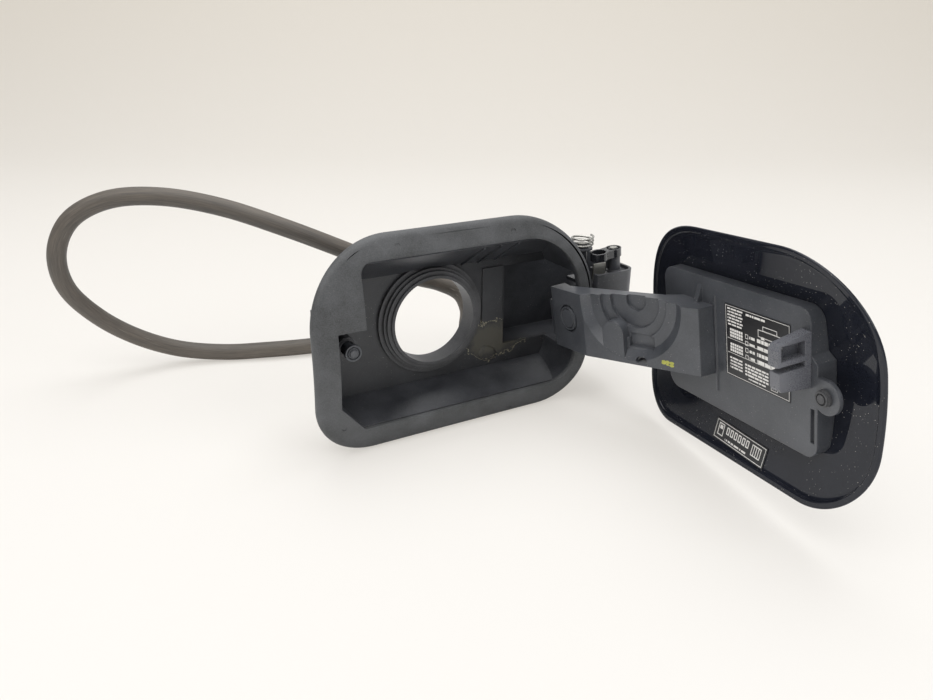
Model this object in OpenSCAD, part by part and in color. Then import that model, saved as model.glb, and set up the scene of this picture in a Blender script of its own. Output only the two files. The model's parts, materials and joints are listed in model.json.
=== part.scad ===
// Car fuel door: filler pot with a soft rim, push latch, lid on a gooseneck arm, and drain hose.
// Millimetres. X right, Y into the car, Z up.
// Origin on the neck axis, at the front face of the pot's back wall. Drawn with the lid open.

/* [Rim] */
// Width of the soft rim
rim_w = 219.4; // [216:0.2:226]
// Height of the soft rim
rim_h = 151.8; // [149:0.2:158]
// Radius of the body side that the rim follows
rim_crown = 231; // [228:1:260]
// Thickness of the soft rim
rim_t = 3; // [2.4:0.1:3.2]
// Width of the lip that wraps the hard rim
rim_lip = 2.4; // [2:0.1:3]
// Thickness of the hard rim
plate_t = 2.5; // [2:0.1:2.7]
// Radius of the ejector marks
mark_r = 1.6; // [1:0.1:2.5]

/* [Pot] */
// Rim's width left of the opening
border_l = 17.2; // [15:0.1:18]
// Rim's width right of the opening
border_r = 12.7; // [11.8:0.1:13.2]
// Rim's width above the opening
border_t = 15.9; // [14.5:0.1:19]
// Rim's width below the opening
border_b = 18.9; // [16.5:0.1:21]
// Set-back of the opening above the latch bay
step_w = 19.5; // [18:0.1:20]
// Height of the latch bay's roof
step_z = 18; // [16:0.5:18.5]
// Depth of the recess
pot_depth = 45; // [44:0.5:50]
// Wall thickness of the pot
wall = 2.5; // [2:0.1:3]
// Height of the ceiling at the back wall
ceiling_z = 37; // [34:0.5:44]
// Height of the floor at the back wall, below centre
floor_z = 49; // [46:0.5:52]
// Height of the ceiling's ribs
rib_h = 1.6; // [0.8:0.1:3]

/* [Hinge bay] */
// Reach of the bay beyond the hinge
bay_side = 10; // [9.6:0.1:14]
// Reach of the bay behind the pot
bay_deep = 28; // [27:0.5:34]
// Wall thickness of the bay
bay_wall = 2; // [1.6:0.1:2.2]
// Height of the bay's open top
bay_top = 27; // [25:0.5:28]
// Depth of the bay below centre
bay_low = 35.5; // [35:0.5:38]

/* [Neck] */
// Radius of the neck's bore
neck_r = 31.9; // [30:0.1:33]
// Radius of the seal's front flange
neck_flange_r = 42; // [40:0.1:44]
// Height of the seal's front lip
neck_lip = 7; // [5:0.5:9]

/* [Hinge] */
// Distance of the hinge beyond the rim
hinge_out = 28.3; // [28:0.1:29]
// Depth of the hinge
hinge_y = 9.7; // [9.4:0.1:10.2]
// Lean of the hinge
hinge_tilt = 7; // [6:0.5:7.5]
// Angle of the open lid
open_angle = 81; // [60:1:82]
// Radius of the hinge pin
pin_r = 2.6; // [2.2:0.1:2.8]
// Running fit of the pin, radial
pin_fit = 0.05; // [0.02:0.01:0.1]
// Radius of the knuckle
knuckle_r = 5.5; // [5:0.1:5.7]
// Height of the knuckle
knuckle_h = 34; // [32:0.1:35]
// Height of each eye
ear_h = 6; // [5:0.1:6.5]
// Height of the lever above the eyes
lever_rise = 14; // [12:0.5:15]
// Thickness of the lever
lever_t = 6; // [5:0.1:7]
// Length of the lever
lever_len = 13.6; // [12:0.1:15]
// Radius of the lever's ring
lever_ring = 6.6; // [6:0.1:7]

/* [Hinge spring] */
// Radius of the coil
coil_r = 8; // [7.4:0.1:8.2]
// Radius of the wire
wire_r = 0.8; // [0.6:0.05:0.9]
// Rise of each turn
coil_pitch = 2.6; // [2.2:0.1:3.4]
// Turns of the coil
coil_turns = 3; // [2:1:4]

/* [Lid] */
// Lid's width less than the rim's
lid_in = 8.4; // [7.6:0.1:12]
// Lid's height less than the rim's
lid_down = 0.8; // [0.4:0.1:4]
// Radius of the lid's curve
lid_crown = 201; // [198:1:206]
// Thickness of the skin
skin_t = 1.2; // [0.8:0.1:1.4]
// Thickness of the hemmed edge
hem_t = 2.4; // [1.8:0.1:2.6]
// Width of the hemmed edge
hem_w = 4; // [3:0.1:5]
// Distance of the lid in front of the rim
lid_lift = 5.5; // [5.2:0.1:7]

/* [Inner panel] */
// Depth of the panel's face behind the rim's apex
panel_y = 8.7; // [8:0.1:9]
// Height of the panel above the arm's centre
panel_t = 42; // [40:0.5:44]
// Depth of the panel below the arm's centre
panel_b = 46; // [44:0.5:48]
// Wall thickness of the panel
panel_wall = 2.2; // [1.8:0.1:2.6]
// Radius of the ear
ear_pad_r = 10; // [9:0.1:10.4]

/* [Arm] */
// Height of the arm above centre
arm_top = 25; // [24:0.5:26]
// Depth of the arm below centre
arm_low = 21; // [20:0.5:22]
// Room between the arm and the rim when open
arm_clear = 2.6; // [2.2:0.1:3.2]
// Wall thickness of the arm
arm_wall = 2.6; // [2:0.1:3]
// Radius of the cap cradle
bowl_r = 40; // [38:0.5:41]
// Depth of the cradle's outer step
bowl_d = 5; // [4:0.1:5.4]
// Extra depth of each inner step
bowl_step = 2.6; // [1.8:0.1:2.8]
// Width of the tongue
tongue_w = 17; // [14:0.5:19]
// Radius of the tether button
button_r = 8.8; // [8:0.1:9.4]

/* [Striker] */
// Width of the striker
striker_w = 7.6; // [7.2:0.2:9]
// Reach of the striker from the panel
striker_out = 22; // [18:0.5:23]
// Depth of the lock pocket
pocket_d = 6; // [4:0.5:6]

/* [Labels] */
// Width of the information label
info_w = 58.5; // [54:0.5:60]
// Height of the information label
info_h = 47; // [42:0.5:48]
// Width of the fuel label
fuel_w = 50; // [40:0.5:52]
// Height of the fuel label
fuel_h = 13.5; // [12:0.5:14.5]

/* [Latch] */
// Radius of the plunger's head
head_r = 5.8; // [5.2:0.1:6]
// Radius of the plunger's stem
stem_r = 4; // [3.6:0.1:4.2]
// Running fit of the stem, radial
stem_fit = 0.06; // [0.03:0.01:0.1]
// Travel of the plunger
travel = 6; // [4:0.5:6.5]
// Length of the latch housing
latch_len = 21; // [20:0.5:24]

/* [Hose] */
// Radius of the hose
hose_r = 7; // [6:0.1:7.2]

/* [Hidden] */
$fn = 96;
gap = 0.05;
neck_x = -6;
rim_x = rim_w / 2;
open_l = rim_x - border_l;
open_r = rim_x - border_r;
open_t = rim_h / 2 - border_t;
open_b = rim_h / 2 - border_b;
step_x = open_l - step_w;
hinge_x = rim_x + hinge_out;
bay_x = hinge_x + bay_side;
bay_y = pot_depth + bay_deep;
bay_l = rim_x - 51.7;
bay_f = hinge_x - 25;
lid_w = rim_w - lid_in;
lid_h = rim_h - lid_down;
panel_l = open_l - 17.5;
panel_r = hinge_x - 72;
rim_radii = [58, 65, 38, 43];
lid_radii = [60, 77, 36, 46];
lid_x = -2.4;
lid_z = -2;
hinge = [hinge_x, hinge_y, 0];
axis = [-sin(hinge_tilt), 0, cos(hinge_tilt)];
ear_z = knuckle_h / 2 + 0.3;
latch_x = 14 - open_l;
latch_z = -2;
head_y = 12.6;
plate_y = rim_t + gap;
bay_roof = 32;
stop_x = latch_x - 2;
stop_z = -5;
// Arm line: foot, crook and shoulder of the face
foot = [hinge_x - 124.7, 0.442 * pot_depth];
crook = [hinge_x - 43, pot_depth + 14];
shoulder = [hinge_x - 7, pot_depth + 19.7];
back_y = hinge_y + hinge_x - open_r + arm_clear;
arm_lean = atan2(crook[1] - foot[1], crook[0] - foot[0]);
bowl_z = 22;
bowl_s = norm(crook - foot) - 38.3;
button = [hinge_x - 25, crook[1] + 2.9, 4];
striker_x = 4.4 - panel_l;
coil_c = [hinge_x - 27.5, 19.5];
post_z = ear_z + 26.6;
spout = [bay_l - 14, 9.5 - floor_z];
lever_z = ear_z + ear_h + lever_rise;

// Moves from the rim's frame to the neck's frame
module seat() {
    translate([-neck_x, -pot_depth, 0]) children();
}

// Swings the closed lid open
module door() {
    translate(hinge) rotate(a = open_angle, v = axis) translate(-hinge) children();
}

// Stands on the hinge's axis, Z along the pin
module on_hinge() {
    translate(hinge) rotate([0, -hinge_tilt, 0]) children();
}

// Extrudes an X-Z outline from y0 to y1
module prism(y0, y1) {
    translate([0, y1, 0]) rotate([90, 0, 0]) linear_extrude(y1 - y0) children();
}

// Round bar along Y
module bar(r, y0, y1) {
    translate([0, y0, 0]) rotate([-90, 0, 0]) cylinder(r = r, h = y1 - y0);
}

// Ring along Y
module ring(r1, r0, y0, y1) {
    difference() {
        bar(r1, y0, y1);
        bar(r0, y0 - 1, y1 + 1);
    }
}

// Everything behind a curved side with its apex at y
module crown(r, y) {
    translate([0, y + r, 0]) rotate([0, 90, 0]) cylinder(r = r, h = 420, center = true, $fn = 240);
}

// Layer of a curved side, from apex y to y + t
module layer(r, y, t) {
    difference() {
        crown(r, y);
        crown(r - t, y + t);
    }
}

// Layer of the rim, from a to b behind its apex
module rim_layer(a, b) {
    difference() {
        crown(rim_crown - a, a);
        crown(rim_crown - b, b);
    }
}

// Card outline with its own radius at each corner, grown by g
module card2d(w, h, r, g = 0) {
    a = w / 2 + g;
    b = h / 2 + g;
    q = [r[0] + g, r[1] + g, r[2] + g, r[3] + g];
    intersection() {
        square([2 * a, 2 * b], center = true);
        union() {
            polygon([[-a, b - q[0]], [q[0] - a, b], [a - q[1], b], [a, b - q[1]],
                [a, q[2] - b], [a - q[2], -b], [q[3] - a, -b], [-a, q[3] - b]]);
            translate([q[0] - a, b - q[0]]) circle(q[0]);
            translate([a - q[1], b - q[1]]) circle(q[1]);
            translate([a - q[2], q[2] - b]) circle(q[2]);
            translate([q[3] - a, q[3] - b]) circle(q[3]);
        }
    }
}

// Outline of the opening, grown by g
module opening2d(g = 0) {
    l = open_l + g;
    r = open_r + g;
    t = open_t + g;
    b = open_b + g;
    s = step_x + g;
    polygon([[-75, -b], [r - 20 - g, -b], [r, -b + 20 + g], [r, t - 44 - g], [r - 44 - g, t],
        [8 - s + g, t], [-s, t - 8 - g], [-s, step_z + g], [-l, step_z + g], [-l, 21 - b]]);
    translate([r - 44 - g, t - 44 - g]) circle(44 + g);
    translate([r - 20 - g, 20 + g - b]) circle(20 + g);
    translate([8 + g - s, t - 8 - g]) circle(8 + g);
}

// Recess between its slanted ceiling and floor, grown by g
module recess(g, y0, y1) {
    difference() {
        prism(y0, y1) opening2d(g);
        translate([-200, 0, 0]) rotate([90, 0, 90]) linear_extrude(400)
            polygon([[8, open_t + g], [pot_depth, ceiling_z + g], [99, ceiling_z + g - 20],
                [99, 99], [8, 99]]);
        translate([-200, 0, 0]) rotate([90, 0, 90]) linear_extrude(400)
            polygon([[7, -open_b - g], [pot_depth, -floor_z - g], [99, -floor_z - g], [99, -99], [7, -99]]);
    }
}

// Plan of the hinge bay, grown by g
module bay2d(g = 0) {
    x = bay_x - bay_wall + g;
    y = bay_y - bay_wall + g;
    f = 1 - g;
    polygon([[bay_l - g, 40], [bay_l - g, y], [x - 8 - g, y], [x, y - 8 - g], [x, f + 7 + g],
        [x - 7 - g, f], [bay_f - g, f], [bay_f - g, plate_y + 1], [open_r - 8, plate_y + 1],
        [open_r - 8, 40]]);
    translate([x - 8 - g, y - 8 - g]) circle(8 + g);
    translate([x - 7 - g, f + 7 + g]) circle(7 + g);
}

// Bay without what lies in front of the hard rim's back face
module behind_plate(g) {
    intersection() {
        children();
        union() {
            crown(rim_crown - plate_y - plate_t - g, plate_y + plate_t + g);
            translate([bay_f - 2.5, -50, -99]) cube([99, 199, 199]);
        }
    }
}

module bay_block(g) {
    translate([0, 0, -bay_low - g]) linear_extrude(bay_low + bay_roof + 2 * g) bay2d(bay_wall + g);
}

// Round coil about Z, standing on z = 0
module coil(r, wire, pitch, turns, step = 15, sides = 8) {
    n = turns * 360 / step;
    pts = [for (i = [0:n]) for (k = [0:sides - 1])
        let (a = i * step, b = k * 360 / sides, q = r + wire * cos(b))
        [q * cos(a), q * sin(a), wire + pitch * a / 360 + wire * sin(b)]];
    faces = [[for (k = [sides - 1:-1:0]) k], [for (k = [0:sides - 1]) n * sides + k],
        for (i = [0:n - 1]) for (k = [0:sides - 1])
            [i * sides + k, i * sides + (k + 1) % sides,
                (i + 1) * sides + (k + 1) % sides, (i + 1) * sides + k]];
    polyhedron(pts, [for (f = faces) [for (j = [len(f) - 1:-1:0]) f[j]]]);
}

module bay_inside() {
    behind_plate(0)
        translate([0, 0, bay_wall - bay_low]) linear_extrude(bay_low + bay_roof - 2 * bay_wall) bay2d();
}

module pot_housing() {
    color("dimgray") seat() difference() {
        union() {
            difference() {
                union() {
                    intersection() {
                        recess(wall, 0, pot_depth - gap);
                        crown(rim_crown - plate_y, plate_y);
                    }
                    // Snap hooks
                    for (x = [-40, 36]) snap_hook([x, open_t - 6.5, 1]);
                    for (x = [-30, 50]) snap_hook([x, 1.5 - open_b, -1]);
                }
                recess(0, -5, pot_depth);
                prism(-9, 7) opening2d();
                bay_inside();
            }
            // Ceiling ribs
            difference() {
                intersection() {
                    for (x = [20, 34, 48])
                        translate([x, 12, ceiling_z - 8])
                            cube([1.4, pot_depth - 11, open_t - ceiling_z + 10]);
                    recess(0.5, 4, pot_depth - gap);
                }
                translate([0, 0, -rib_h]) recess(0, 3, pot_depth + 2);
            }
        }
        translate([neck_x, 0, 0]) bar(neck_r + 5.2, pot_depth - 4, 90);
    }
}

module pot_back() {
    color("dimgray") seat() difference() {
        union() {
            difference() {
                recess(wall, pot_depth, pot_depth + wall);
                bay_inside();
            }
            // Raised panel
            difference() {
                translate([bay_l - 20, pot_depth - 1.5, -13]) cube([18, 2.5, 44]);
                translate([neck_x, 0, 0]) bar(neck_flange_r + 1, 0, 90);
            }
            // Plunger guide
            translate([latch_x, 0, latch_z]) bar(6.8, 27, pot_depth + 1);
            // Drain spout
            translate([spout[0], pot_depth, spout[1]]) {
                bar(hose_r, 1, 13);
                bar(hose_r + 1.6, 0.5, 4);
            }
        }
        translate([neck_x, 0, 0]) bar(neck_r + 5.2, pot_depth - 4, 90);
        translate([latch_x, 0, latch_z]) bar(stem_r + 0.8, 20, 90);
        translate([spout[0], pot_depth - 8, spout[1]]) bar(hose_r - 2.5, 0, 60);
        for (z = [-17, 17]) for (x = [-10, 10])
            translate([latch_x + x, 0, latch_z + z]) bar(1.3, pot_depth + 0.8, 90);
    }
}

module rim_plate() {
    color("dimgray") seat() difference() {
        union() {
            intersection() {
                prism(0, 40) card2d(rim_w, rim_h, rim_radii, -rim_lip - gap);
                rim_layer(plate_y, plate_y + plate_t - 0.8);
            }
            // Stepped back edge
            intersection() {
                prism(0, 40) card2d(rim_w, rim_h, rim_radii, -rim_lip - gap - 0.6);
                rim_layer(plate_y + 0.5, plate_y + plate_t);
            }
        }
        prism(-9, 40) opening2d(wall + gap);
    }
}

module hinge_bay() {
    color("dimgray") seat() difference() {
        union() {
            difference() {
                behind_plate(gap) bay_block(0);
                bay_inside();
                recess(wall + gap, -5, pot_depth + wall + gap);
                translate([open_r + 3, -20, bay_top]) cube([100, 120, 20]);
            }
            // Hinge eyes
            intersection() {
                on_hinge() for (z = [-ear_z - ear_h, ear_z]) translate([0, 0, z]) {
                    cylinder(r = 7, h = ear_h);
                    translate([0, -10, 0]) cube([12, 17, ear_h]);
                    translate([-7, -10, 0]) cube([14, 10, ear_h]);
                }
                bay_block(-0.2);
            }
            // Deck for the spring post and the plate
            intersection() {
                translate([hinge_x - 33, 0, ear_z]) cube([26, 29, 2.4]);
                behind_plate(gap) bay_block(-0.2);
            }
            translate([coil_c[0], coil_c[1], ear_z]) {
                cylinder(r = 4, h = 30);
                translate([0, 0, 25.4]) cylinder(r = coil_r, h = 1.2);
                translate([0, 0, 26]) cylinder(r = 5, h = 3);
            }
            translate([hinge_x - 23.5, 11.4, ear_z]) cube([14, 2, 12]);
            for (z = [-18, 14]) translate([bay_x - 1, 34, z]) cube([5, 14, 3]);
        }
        on_hinge() translate([0, 0, -50]) cylinder(r = pin_r + pin_fit, h = 100);
    }
}

module snap_hook(p) {
    translate([p[0], 20, p[1] - (p[2] > 0 ? 0 : 9)]) {
        cube([12, 2.2, 10]);
        translate([0, 0, p[2] > 0 ? 6 : 0]) cube([12, 7, 2.4]);
        translate([5, 0, 0]) cube([2, 10, 8]);
    }
}

module rim_seal() {
    color("slategray") seat() difference() {
        union() {
            intersection() {
                prism(-2, 40) card2d(rim_w, rim_h, rim_radii);
                rim_layer(1, rim_t);
            }
            intersection() {
                prism(-2, 40) card2d(rim_w, rim_h, rim_radii, -1);
                rim_layer(0, 1.2);
            }
            intersection() {
                prism(-2, 40) difference() {
                    card2d(rim_w, rim_h, rim_radii);
                    card2d(rim_w, rim_h, rim_radii, -rim_lip);
                }
                rim_layer(rim_t - 0.2, plate_y + plate_t + 0.35);
            }
        }
        prism(-9, 40) opening2d();
        bay_block(gap);
        for (m = [[-45.7, 67.8], [42.6, 67], [43.6, -70.2], [-90.8, -51.7]])
            translate([m[0], 0, m[1]]) intersection() {
                bar(mark_r, -2, 20);
                translate([0, 0, -m[1]]) layer(rim_crown, -2, 2.4);
            }
    }
}

module neck_seal() {
    color("gray") seat() {
        translate([neck_x, 0, 0]) {
            ring(neck_r + 5.1, neck_r, pot_depth - neck_lip, pot_depth + 7);
            ring(neck_flange_r - 1, neck_r + 3, pot_depth + wall + gap, pot_depth + wall + 2.5);
            ring(neck_r + 2.2, neck_r, pot_depth - neck_lip - 1.6, pot_depth - neck_lip + 1);
        }
        intersection() {
            translate([neck_x, 0, 0]) {
                ring(neck_flange_r - 3, neck_r + 3, pot_depth - 5, pot_depth - gap);
                ring(neck_flange_r, neck_r + 3, pot_depth - 2.6, pot_depth - gap);
            }
            recess(-0.1, 0, pot_depth + 1);
        }
    }
}

module latch_housing() {
    y0 = pot_depth + wall + gap;
    color("darkslategray") seat() translate([latch_x, 0, latch_z]) difference() {
        union() {
            translate([-14, y0, -21]) cube([28, 2.4, 42]);
            translate([-10, y0, -12]) cube([20, latch_len, 24]);
            translate([-8, y0 + 4.8, -20]) cube([16, latch_len - 6.8, 10]);
        }
        bar(stem_r + stem_fit, y0 - 9, y0 + 99);
        bar(8.4, y0 + 3, y0 + latch_len - 3);
        translate([-6.4, y0 + 7, -18.4]) cube([12.8, 30, 6.4]);
        for (z = [-17, 17]) for (x = [-10, 10]) translate([x, 0, z]) bar(1.55, 0, 99);
    }
}

module latch_boot() {
    color("black") seat() translate([latch_x, 0, latch_z]) {
        ring(7.2, stem_r + 1, 24.6, 27 - gap);
        ring(6.2, stem_r + 1, 23.8, 25);
    }
}

module latch_plunger() {
    y0 = pot_depth + wall + gap;
    color("gray") seat() translate([latch_x, 0, latch_z]) {
        bar(stem_r, head_y + 1, y0 + latch_len + 1);
        difference() {
            bar(head_r, head_y + 0.6, head_y + 4.4);
            ring(head_r - 1.2, head_r - 2.2, head_y, head_y + 1.6);
            bar(2.7, head_y - 1, head_y + 2);
        }
        bar(7.2, y0 + 3.2, y0 + 5);
    }
}

module plunger_tip() {
    color("lightgray") seat() translate([latch_x, 0, latch_z]) bar(2.6, head_y, head_y + 0.98);
}

module latch_spring() {
    y0 = pot_depth + wall + gap;
    span = latch_len - 8.4;
    turns = 5;
    color("silver") seat() translate([latch_x, y0 + 5.2, latch_z]) rotate([-90, 0, 0])
        coil(5.6, 0.5, (span - 1) / turns, turns);
}

module latch_screws() {
    y0 = pot_depth + wall + gap;
    color("silver") seat() for (z = [-17, 17]) for (x = [-10, 10])
        translate([latch_x + x, 0, latch_z + z]) difference() {
            union() {
                bar(1.25, pot_depth + 1, y0 + 3);
                bar(3, y0 + 2.4 + gap, y0 + 4.4);
            }
            translate([-2, y0 + 3.6, -0.4]) cube([4, 2, 0.8]);
            translate([-0.4, y0 + 3.6, -2]) cube([0.8, 2, 4]);
        }
}

module latch_terminals() {
    color("gold") seat() for (x = [-3, 1.4])
        translate([latch_x + x, pot_depth + wall + 7.1 + gap, latch_z - 17.5]) cube([1.4, 6, 0.8]);
}

module hinge_pin() {
    color("silver") seat() on_hinge() {
        translate([0, 0, -ear_z - ear_h - 1])
            cylinder(r = pin_r, h = ear_z + ear_h + lever_z + lever_t + 1.6);
        translate([0, 0, -ear_z - ear_h - 2]) cylinder(r = pin_r + 1.5, h = 1.7);
    }
}

module pin_clip() {
    color("silver") seat() on_hinge() translate([0, 0, ear_z + ear_h + 0.3]) difference() {
        cylinder(r = 5.6, h = 0.9);
        translate([0, 0, -1]) cylinder(r = pin_r + gap, h = 9);
        translate([-9, -1.2, -1]) cube([9, 2.4, 9]);
    }
}

module hinge_bush() {
    color("black") seat() on_hinge() translate([0, 0, ear_z + ear_h + 1.4]) difference() {
        union() {
            cylinder(r = 5, h = lever_rise - 1.6);
            cylinder(r = 5.6, h = 1.6);
        }
        translate([0, 0, -1]) cylinder(r = pin_r + gap, h = 99);
    }
}

module spring_lever() {
    color("black") seat() on_hinge() translate([0, 0, lever_z]) difference() {
        union() {
            cylinder(r = 6, h = lever_t);
            translate([-lever_len, 0, 0]) cylinder(r = lever_ring, h = lever_t);
            translate([-lever_len, -5, 0]) cube([lever_len, 10, lever_t]);
        }
        translate([0, 0, -1]) cylinder(r = pin_r + gap, h = 99);
        translate([-lever_len, 0, 1.6]) cylinder(r = lever_ring - 1.4, h = 99);
        translate([0, 0, lever_t - 1.6]) difference() {
            cylinder(r = 5, h = 9);
            cylinder(r = pin_r + 1, h = 9);
        }
    }
}

module hinge_spring() {
    color("silver") seat() translate([coil_c[0], coil_c[1], post_z + gap])
        coil(coil_r, wire_r, coil_pitch, coil_turns);
}

module spring_clip() {
    color("lightgray") seat() {
        translate([hinge_x - 22.5, 10, ear_z + 2.4 + gap]) cube([11.5, 1.2, 12.4]);
        translate([hinge_x - 22.5, 4, ear_z + 2.4 + gap]) cube([11.5, 7, 1.2]);
    }
}

module lid_skin() {
    color("black") seat() door() translate([lid_x, 0, lid_z]) {
        intersection() {
            prism(-40, 60) card2d(lid_w, lid_h, lid_radii);
            layer(lid_crown, -lid_lift, skin_t);
        }
        intersection() {
            prism(-40, 60) difference() {
                card2d(lid_w, lid_h, lid_radii);
                card2d(lid_w, lid_h, lid_radii, -hem_w);
            }
            difference() {
                crown(lid_crown - skin_t + 0.2, skin_t - lid_lift - 0.2);
                crown(lid_crown - hem_t, hem_t - lid_lift);
            }
        }
    }
}

// Outline of the inner panel, grown by g
module panel2d(g = 0) {
    l = -panel_l;
    r = panel_r;
    polygon([[l + 13, panel_t + g], [r - 10, panel_t + g], [r + g, panel_t - 10], [r + g, 10 - panel_b],
        [r - 10, -panel_b - g], [l + 9, -panel_b - g], [l - g, 9 - panel_b], [l - g, 12], [l + 5 - g, 16],
        [l + 5 - g, panel_t - 8]]);
    translate([r - 10, panel_t - 10]) circle(10 + g);
    translate([r - 10, 10 - panel_b]) circle(10 + g);
    translate([l + 9, 9 - panel_b]) circle(9 + g);
    translate([l + 13, panel_t - 8]) circle(8 + g);
}

// Plan of the arm, from the foot to the knuckle
module arm2d() {
    y = panel_y - 1.7;
    polygon([[foot[0] - 0.8, y], foot, crook, shoulder, [hinge_x - 1, shoulder[1] - 0.3],
        [hinge_x + 1.4, shoulder[1] - 3.7], [hinge_x + 1.6, hinge_y], [hinge_x - 3.6, hinge_y],
        [hinge_x - 3.6, back_y - 0.4], [hinge_x - 16, back_y], [hinge_x - 84, 0.4 * pot_depth],
        [foot[0] + 30, y]]);
}

// Plan of the hollow behind the arm's face
module arm_hollow2d() {
    w = arm_wall;
    polygon([[foot[0] + w, 4], [foot[0] + w, foot[1] - w], [crook[0] + 0.6, crook[1] - w * 1.15],
        [hinge_x - 18, crook[1] - w + 1.2], [hinge_x - 18, back_y - 3], [hinge_x - 14, back_y - 3],
        [hinge_x - 14, 4]]);
}

// Stands on the arm's first facet: X along it, Y out of the face
module on_face() {
    translate([foot[0], foot[1], 0]) rotate([0, 0, arm_lean]) translate([bowl_s, 0, 0]) children();
}

module bowl(g) {
    translate([0, 0, bowl_z]) {
        translate([0, -bowl_d - g, 0]) rotate([-90, 0, 0])
            cylinder(r1 = bowl_r - 6 + g, r2 = bowl_r + g + 6 / bowl_d, h = bowl_d + g + 1);
        bar(bowl_r - 14 + g, -bowl_d - bowl_step - g, 0);
        bar(bowl_r - 21 + g, -bowl_d - 2 * bowl_step - g, 0);
        bar(7.5 + g, -bowl_d - 3 * bowl_step - g, 0);
    }
}

module lid_arm() {
    color("dimgray") seat() door() {
        difference() {
            union() {
                // Tray inside the lid
                intersection() {
                    prism(-20, panel_y) panel2d();
                    translate([0, 0, lid_z]) crown(lid_crown - skin_t - gap, skin_t + gap - lid_lift);
                }
                // Ear
                translate([stop_x, 0, stop_z]) bar(ear_pad_r, panel_y - 2.6, panel_y);
                translate([stop_x - 2, panel_y - 2.6, stop_z + 2]) cube([12, 2.6, ear_pad_r - 2]);
                // Arm
                difference() {
                    translate([0, 0, -arm_low]) linear_extrude(arm_low + arm_top) arm2d();
                    difference() {
                        translate([0, 0, arm_wall - arm_low]) linear_extrude(arm_low + arm_top - 2 * arm_wall)
                            arm_hollow2d();
                        on_face() bowl(arm_wall);
                        on_face() translate([-16 - arm_wall, -bowl_d - 3.6 - arm_wall, -10 - arm_wall])
                            cube([20 + 2 * arm_wall, 9, 9 + 2 * arm_wall]);
                    }
                    translate([hinge_x - 5.6, 0, -arm_low - 1]) cube([20, 99, arm_low - 13]);
                    translate([hinge_x - 5.6, 0, 14]) cube([20, 99, 20]);
                }
                on_hinge() translate([0, 0, -knuckle_h / 2]) cylinder(r = knuckle_r, h = knuckle_h);
                // Fin beside the arm
                translate([foot[0] + 11, 0, 0]) rotate([90, 0, 90]) linear_extrude(4)
                    polygon([[panel_y - 1, panel_t - 3], [panel_y - 1, arm_top - 2],
                        [panel_y + 5, arm_top - 2]]);
                // Panel rib and border
                translate([foot[0] - 2.6, panel_y - 1, -33]) cube([1.4, 1.8, 65]);
            }
            // Hollow of the tray
            difference() {
                intersection() {
                    prism(-20, panel_y - panel_wall) panel2d(-panel_wall);
                    translate([0, 0, lid_z]) crown(lid_crown - skin_t, skin_t - lid_lift);
                }
                for (x = [-42, 0, 40]) translate([x, -20, -80]) cube([1.6, 60, 160]);
            }
            on_face() difference() {
                bowl(0);
                // Tongue
                translate([14, 0, 0]) bar(tongue_w / 2, -9, -0.2);
                translate([14 - tongue_w / 2, -9, -40]) cube([tongue_w, 8.8, 40]);
            }
            // Pocket beside the tongue
            on_face() translate([-16, -bowl_d - 3.6, -10]) cube([20, 5, 9]);
            on_face() prism(-9, 9) {
                translate([-10.2, -17.5]) circle(2);
                translate([-5.2, -17.5]) circle(2);
                translate([-10.2, -19.5]) square([5, 4]);
            }
            // Seat of the tether button
            translate(button) rotate([0, 0, 9]) bar(button_r + 1.4, -1.4, 9);
            on_hinge() translate([0, 0, -40]) cylinder(r = pin_r + gap, h = 80);
            // Slot under the ear
            translate([2 - panel_l, panel_y - 2, -36]) cube([3, 9, 21]);
        }
    }
}

module striker() {
    y0 = panel_y + gap;
    y1 = panel_y + striker_out;
    color("black") seat() door() difference() {
        translate([striker_x, 0, 0]) rotate([90, 0, 90]) linear_extrude(striker_w)
            polygon([[y0, -2.5], [y1 - 2, 0], [y1 - 1, 2], [y1 - 1, 11], [y0 + 4, 11], [y0 + 4, 14.5],
                [y1, 14.5], [y1, 24], [y1 - 2, 27], [y0, 30]]);
        translate([striker_x - 1, y0 + 4, 17.4]) cube([pocket_d + 1, striker_out - 6.4, 8.6]);
        translate([striker_x - 1, y1 - 6, 21.4]) rotate([0, 90, 0]) cylinder(r = 2.4, h = striker_w + 9);
    }
}

module bump_stop() {
    color("dimgray") seat() door() translate([stop_x, 0, stop_z]) {
        bar(5, panel_y + gap, panel_y + 1.8);
        ring(4.4, 3.4, panel_y + 1, panel_y + 3);
        bar(2.6, panel_y + 1, panel_y + 3.2);
    }
}

module tether_button() {
    color("dimgray") seat() door() translate(button) rotate([0, 0, 9]) difference() {
        bar(button_r, gap - 1.4, 0.9);
        ring(button_r - 1.2, button_r - 2, 0.3, 2);
    }
}

module info_label() {
    color("white") seat() door()
        translate([20 - panel_l, panel_y + gap, 6 - info_h / 2]) cube([info_w - 2, 0.25, info_h]);
}

module fuel_label() {
    color("white") seat() door() translate([0, 0, lid_z]) intersection() {
        translate([-5, -20, -62.5]) rotate([0, -3, 0])
            translate([-fuel_w / 2, 0, -fuel_h / 2]) cube([fuel_w, 60, fuel_h]);
        layer(lid_crown - skin_t - 0.12, skin_t + 0.12 - lid_lift, 0.25);
    }
}

// Hose route in the rim's frame, from the spout to the free end
route = [[spout[0], pot_depth + 13.1, spout[1]], [46, 80, -39.5], [55, 97, -36], [63, 110, -27], [61, 121, -15],
    [46, 129, -6], [24, 133, 2], [-4, 135, 16], [-37, 138, 33], [-77, 150, 52], [-118, 172, 68], [-158, 190, 77],
    [-194, 204, 76], [-222, 214, 62], [-236, 220, 36], [-234, 225, 6], [-216, 229, -22], [-190, 230, -45],
    [-158, 228, -62], [-122, 218, -69], [-88, 205, -69], [-52, 195, -69], [-14, 190, -69]];
hose_sides = 12;
hose_steps = 4;

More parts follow.
